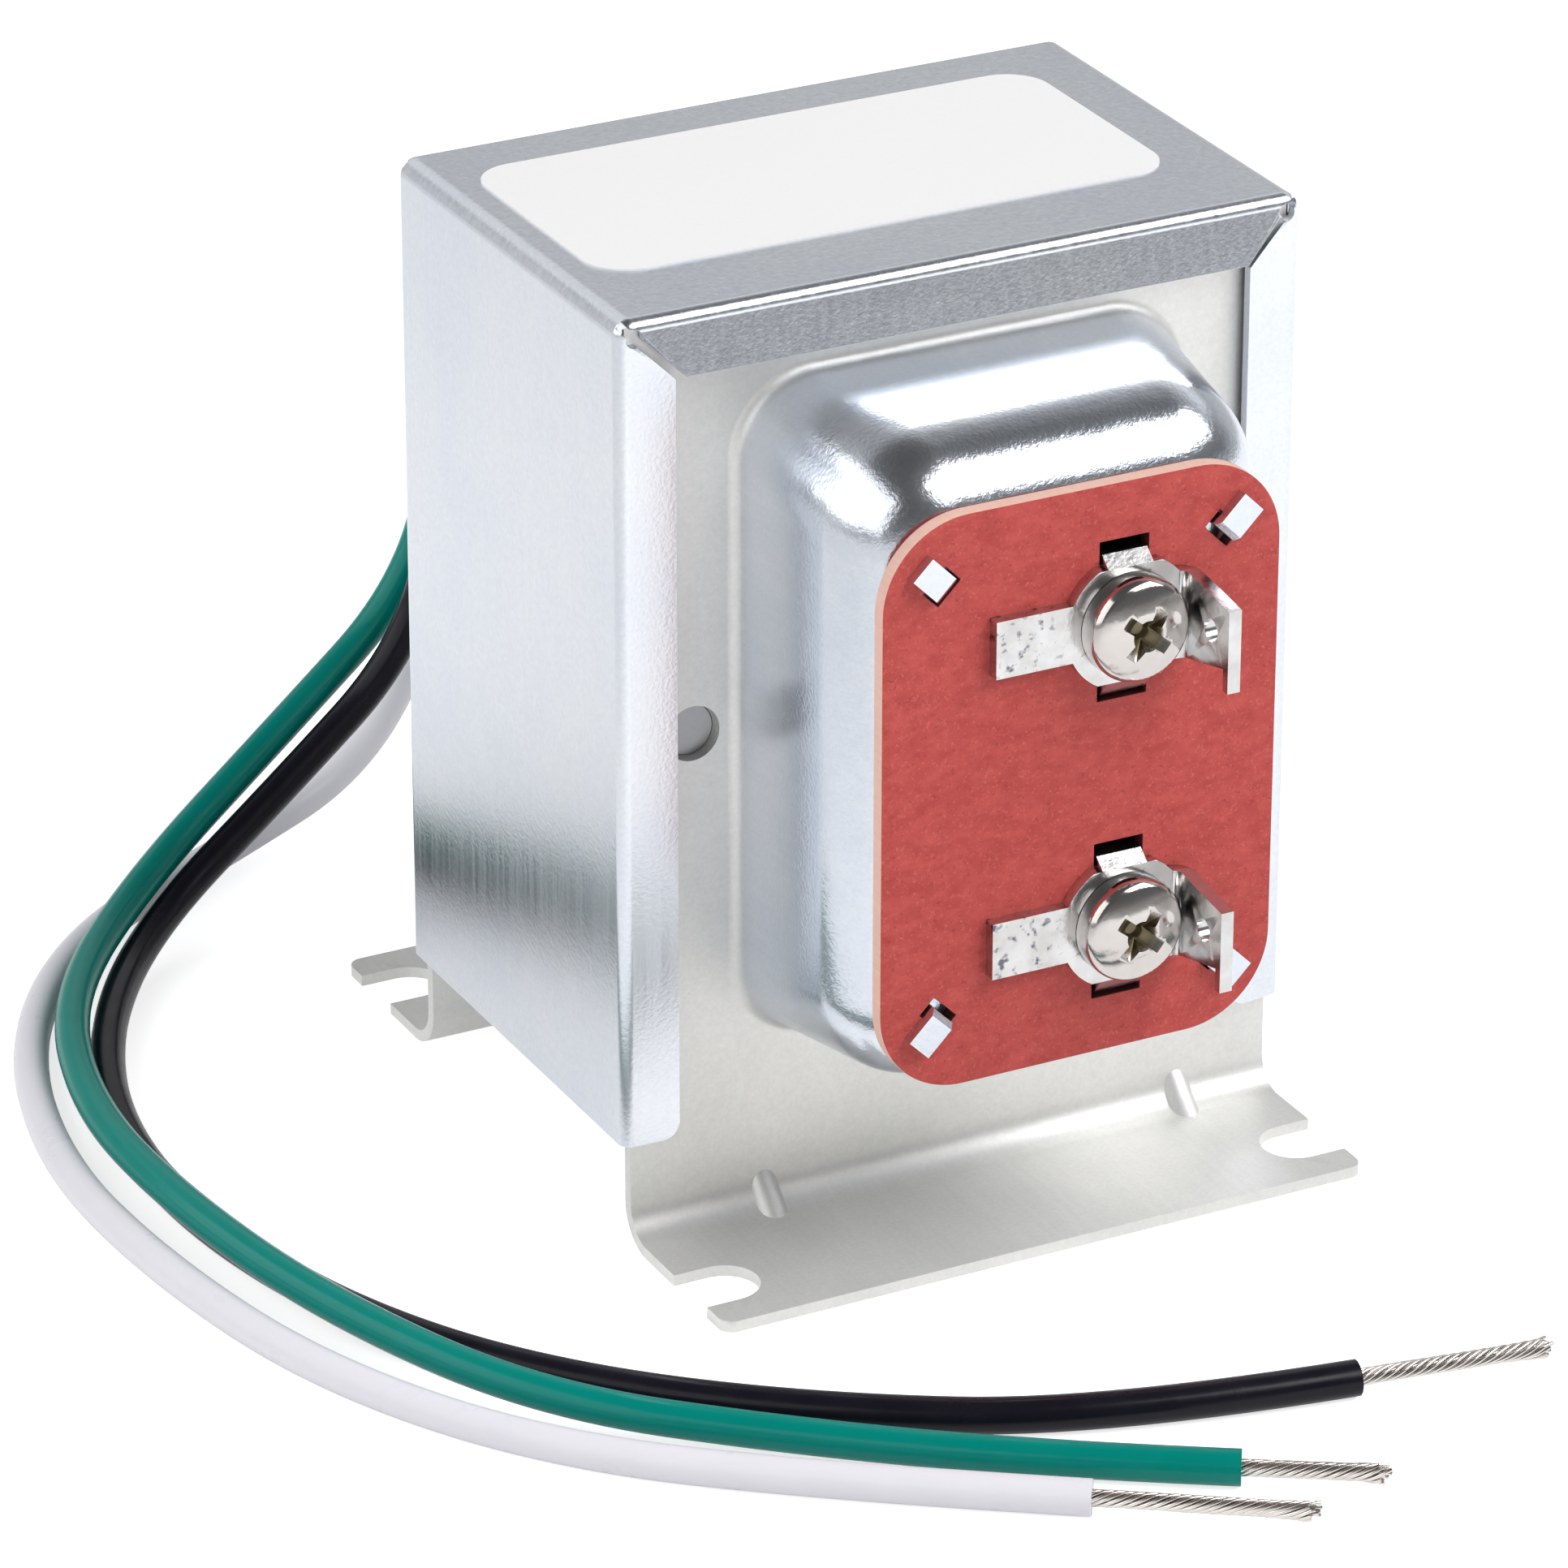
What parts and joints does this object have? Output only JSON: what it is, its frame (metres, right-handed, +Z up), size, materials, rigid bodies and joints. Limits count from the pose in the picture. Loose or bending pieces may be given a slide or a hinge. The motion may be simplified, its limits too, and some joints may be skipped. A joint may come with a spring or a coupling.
{
  "type": "doorbell transformer",
  "caption": "Doorbell transformer: a folded steel hood on a laminated core, drawn end bells with slotted feet, a red fibre board with screw terminals, and loose leads.",
  "frame": {"origin": "middle of the four foot slots, on the plane that the feet stand on", "axes": "+Z up from the feet, -Y towards the terminals, +X to the right seen from the terminals"},
  "size_m": [0.08, 0.1224, 0.0652],
  "materials": {
    "zinc_steel": "bright zinc plated sheet",
    "bell_steel": "plated drawn sheet",
    "lamination_steel": "oxide coated silicon steel",
    "pin_steel": "plain",
    "nylon": "moulded",
    "copper_wire": "enamelled copper",
    "wrap_tape": "polyester tape",
    "fibre_board": "vulcanised fibre",
    "tinned_brass": "tinned",
    "nickel_steel": "nickel plated",
    "black_nylon": "moulded",
    "paper": "printed paper stock, bare",
    "green_pvc": "extruded",
    "black_pvc": "extruded",
    "white_pvc": "extruded",
    "tinned_copper": "tinned strands"
  },
  "bodies": {
    "housing": {"hood": "zinc_steel", "front_bell": "bell_steel", "rear_bell": "bell_steel", "core_e_stack": "lamination_steel", "core_i_stack": "lamination_steel", "core_pins": "pin_steel", "bobbin": "nylon", "primary_winding": "copper_wire", "secondary_winding": "copper_wire", "primary_wrap": "wrap_tape", "secondary_wrap": "wrap_tape", "terminal_board": "fibre_board", "upper_terminal": "tinned_brass", "lower_terminal": "tinned_brass", "upper_secondary_tail": "copper_wire", "lower_secondary_tail": "copper_wire", "lead_bushing": "black_nylon", "label": "paper", "black_lead": "black_pvc", "white_lead": "white_pvc", "green_lead": "green_pvc", "black_lead_strands": "tinned_copper", "white_lead_strands": "tinned_copper", "green_lead_strands": "tinned_copper"},
    "upper_screw": {"upper_terminal_screw": "nickel_steel"},
    "lower_screw": {"lower_terminal_screw": "nickel_steel"}
  },
  "joints": [
    {"name": "upper_screw_turn", "type": "hinge", "parent": "housing", "child": "upper_screw", "pos_m": [0.0029, -0.0327, 0.04587], "axis": [0, -1, 0], "range_deg": [0, 1080]},
    {"name": "lower_screw_turn", "type": "hinge", "parent": "housing", "child": "lower_screw", "pos_m": [0.0029, -0.0327, 0.02502], "axis": [0, -1, 0], "range_deg": [0, 1080]}
  ]
}
